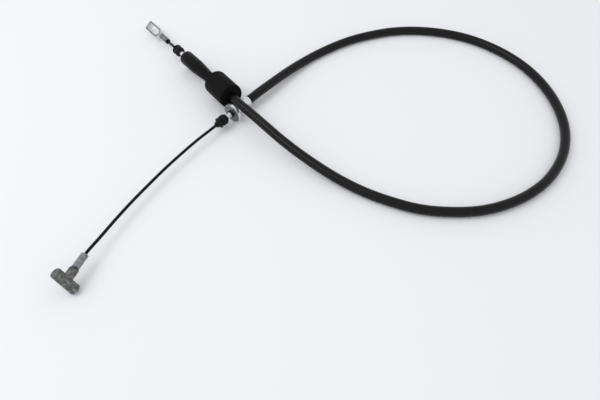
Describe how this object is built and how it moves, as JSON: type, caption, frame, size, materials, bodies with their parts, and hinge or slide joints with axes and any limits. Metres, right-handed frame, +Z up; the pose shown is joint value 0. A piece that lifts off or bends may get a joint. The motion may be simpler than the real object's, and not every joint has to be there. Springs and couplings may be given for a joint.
{
  "type": "parking brake cable",
  "caption": "Parking brake cable: black sheathed conduit laid in a wide loop, rubber bush and boots, and a sliding wire with a steel stirrup and a T-shaped head.",
  "frame": {"origin": "on the surface that the cable lies on, under the middle of the end fittings", "axes": "+Y from the T head towards the stirrup, +Z up, +X towards the conduit's loop"},
  "size_m": [0.5232, 0.4047, 0.0361],
  "materials": {
    "sheath_plastic": "semi-gloss",
    "sleeve_plastic": "semi-gloss",
    "black_rubber": "matte",
    "wire_coat": "semi-gloss",
    "liner_plastic": "satin",
    "spring_steel": "satin",
    "strand_steel": "satin",
    "bright_zinc": "bright zinc plating",
    "rough_zinc": "rough zinc plating"
  },
  "bodies": {
    "conduit": {"outer_sheath": "sheath_plastic", "wound_steel_tube": "spring_steel", "inner_liner": "liner_plastic", "middle_wire": "wire_coat", "front_ferrule": "bright_zinc", "front_sleeve": "sleeve_plastic", "rubber_bush": "black_rubber", "front_boot": "black_rubber", "rear_ferrule": "bright_zinc", "rear_seal_ring": "black_rubber", "rear_boot": "black_rubber"},
    "front_end": {"front_wire_coat": "wire_coat", "front_wire_strand": "strand_steel", "stirrup_crimp": "bright_zinc", "stirrup": "bright_zinc"},
    "rear_end": {"t_head": "rough_zinc", "t_crimp": "rough_zinc", "rear_wire_coat": "wire_coat", "rear_wire_strand": "strand_steel"}
  },
  "joints": [
    {"name": "front_wire_slide", "type": "slide", "parent": "conduit", "child": "front_end", "axis": [-0.6113, 0.7881, -0.0724], "range_m": [-0.015, 0.025]},
    {"name": "rear_wire_slide", "type": "slide", "parent": "conduit", "child": "rear_end", "axis": [0.6293, 0.7771, 0], "range_m": [-0.015, 0.025]}
  ],
  "couplings": [
    {"joint": "rear_wire_slide", "follows": "front_wire_slide", "ratio": 1}
  ]
}
